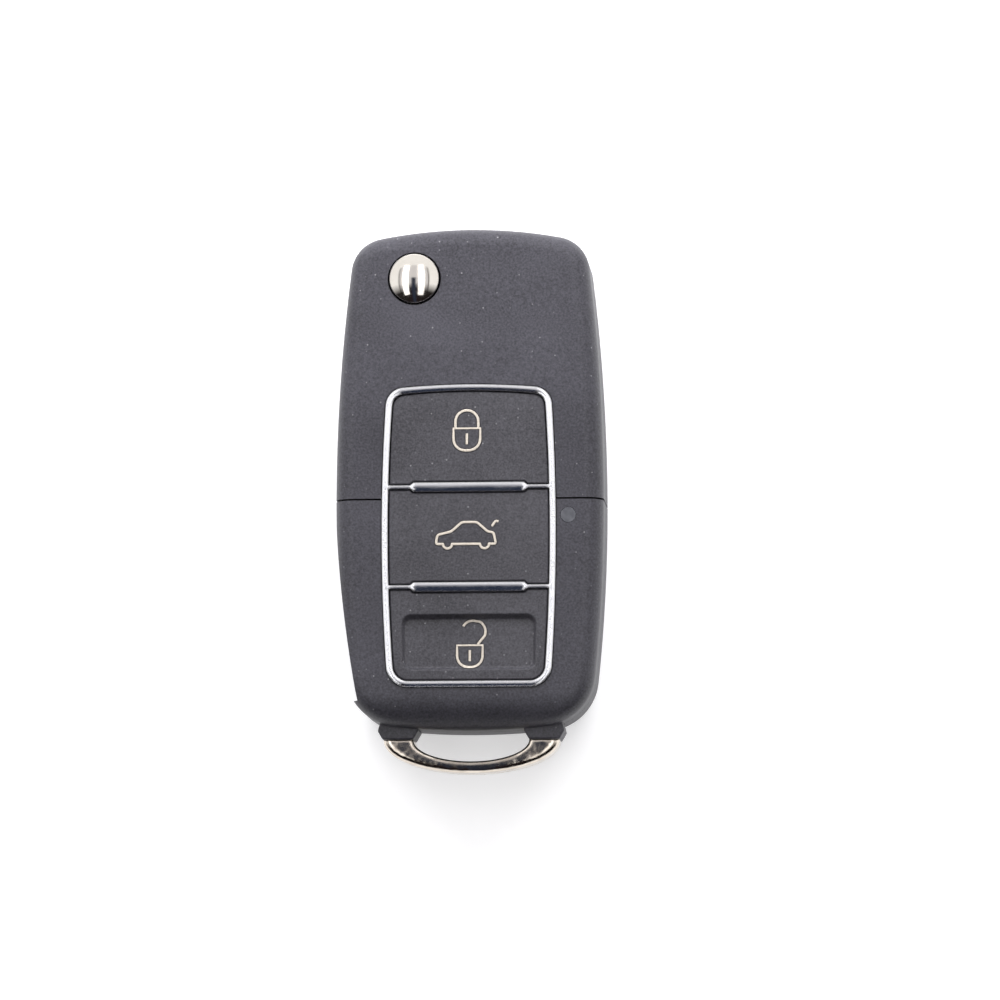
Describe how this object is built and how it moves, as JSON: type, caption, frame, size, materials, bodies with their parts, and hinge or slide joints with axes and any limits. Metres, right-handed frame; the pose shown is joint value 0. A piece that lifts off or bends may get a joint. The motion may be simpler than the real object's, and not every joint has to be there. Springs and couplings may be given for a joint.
{
  "type": "flip-blade remote car key",
  "caption": "Remote car key with a folding blade, a release button, chrome-framed keys, a lamp window and a metal key-ring loop.",
  "frame": {"origin": "middle of the outline, on the plane of the flat back", "axes": "+X right and +Y towards the release button, looking at the button face; +Z out of the button face"},
  "size_m": [0.037, 0.0754, 0.0159],
  "materials": {
    "shell_plastic": "dark charcoal, fine spark-eroded texture",
    "key_plastic": "dark charcoal, slightly smoother than the covers",
    "trim_chrome": "bright plated",
    "polished_nickel": "polished, slightly warm",
    "blade_steel": "nickel-plated, lengthwise brushed",
    "carrier_zinc": "black die-cast, satin",
    "pin_steel": "plain spring steel",
    "screw_steel": "blackened",
    "board_laminate": "green solder resist",
    "chip_epoxy": "moulded epoxy",
    "crystal_can": "plated lid",
    "part_ceramic": "fired ceramic",
    "switch_steel": "stamped cover",
    "plunger_plastic": "moulded",
    "silicone": "grey silicone",
    "led_body": "clear yellowish resin on white",
    "lens_smoke": "smoky grey, polished",
    "cell_steel": "nickel-plated can",
    "contact_bronze": "plated spring bronze"
  },
  "bodies": {
    "housing": {"head_front_cover": "shell_plastic", "head_back_cover": "shell_plastic", "remote_front_cover": "shell_plastic", "remote_back_cover": "shell_plastic", "chrome_trim_frame": "trim_chrome", "key_ring_loop": "polished_nickel", "head_screws": "screw_steel", "circuit_board": "board_laminate", "coin_cell": "cell_steel", "crystal": "crystal_can", "keypad_membrane": "silicone", "led": "led_body", "led_lens": "lens_smoke", "lock_switch": "switch_steel", "trunk_switch": "switch_steel", "unlock_switch": "switch_steel", "negative_contact": "contact_bronze", "positive_contact": "contact_bronze", "remote_chip": "chip_epoxy", "small_components": "part_ceramic", "transponder_chip": "chip_epoxy"},
    "flip": {"blade_carrier": "carrier_zinc", "key_blade": "blade_steel", "blade_roll_pin": "pin_steel", "flip_spring": "pin_steel"},
    "release": {"release_button": "polished_nickel"},
    "lock_key": {"lock_button": "key_plastic", "lock_dome": "silicone", "lock_plunger": "plunger_plastic"},
    "trunk_key": {"trunk_button": "key_plastic", "trunk_dome": "silicone", "trunk_plunger": "plunger_plastic"},
    "unlock_key": {"unlock_button": "key_plastic", "unlock_dome": "silicone", "unlock_plunger": "plunger_plastic"}
  },
  "joints": [
    {"name": "blade_flip", "type": "hinge", "parent": "housing", "child": "flip", "pos_m": [-0.0076, 0.0305, 0.0075], "axis": [0, 0, -1], "range_deg": [0, 180]},
    {"name": "release_press", "type": "slide", "parent": "flip", "child": "release", "axis": [0, 0, -1], "range_m": [0, 0.0015], "stiffness_N_per_m": 700, "deforming": ["flip_spring"]},
    {"name": "lock_press", "type": "slide", "parent": "housing", "child": "lock_key", "axis": [0, 0, -1], "range_m": [0, 0.00045], "stiffness_N_per_m": 900},
    {"name": "trunk_press", "type": "slide", "parent": "housing", "child": "trunk_key", "axis": [0, 0, -1], "range_m": [0, 0.00045], "stiffness_N_per_m": 900},
    {"name": "unlock_press", "type": "slide", "parent": "housing", "child": "unlock_key", "axis": [0, 0, -1], "range_m": [0, 0.00045], "stiffness_N_per_m": 900}
  ]
}
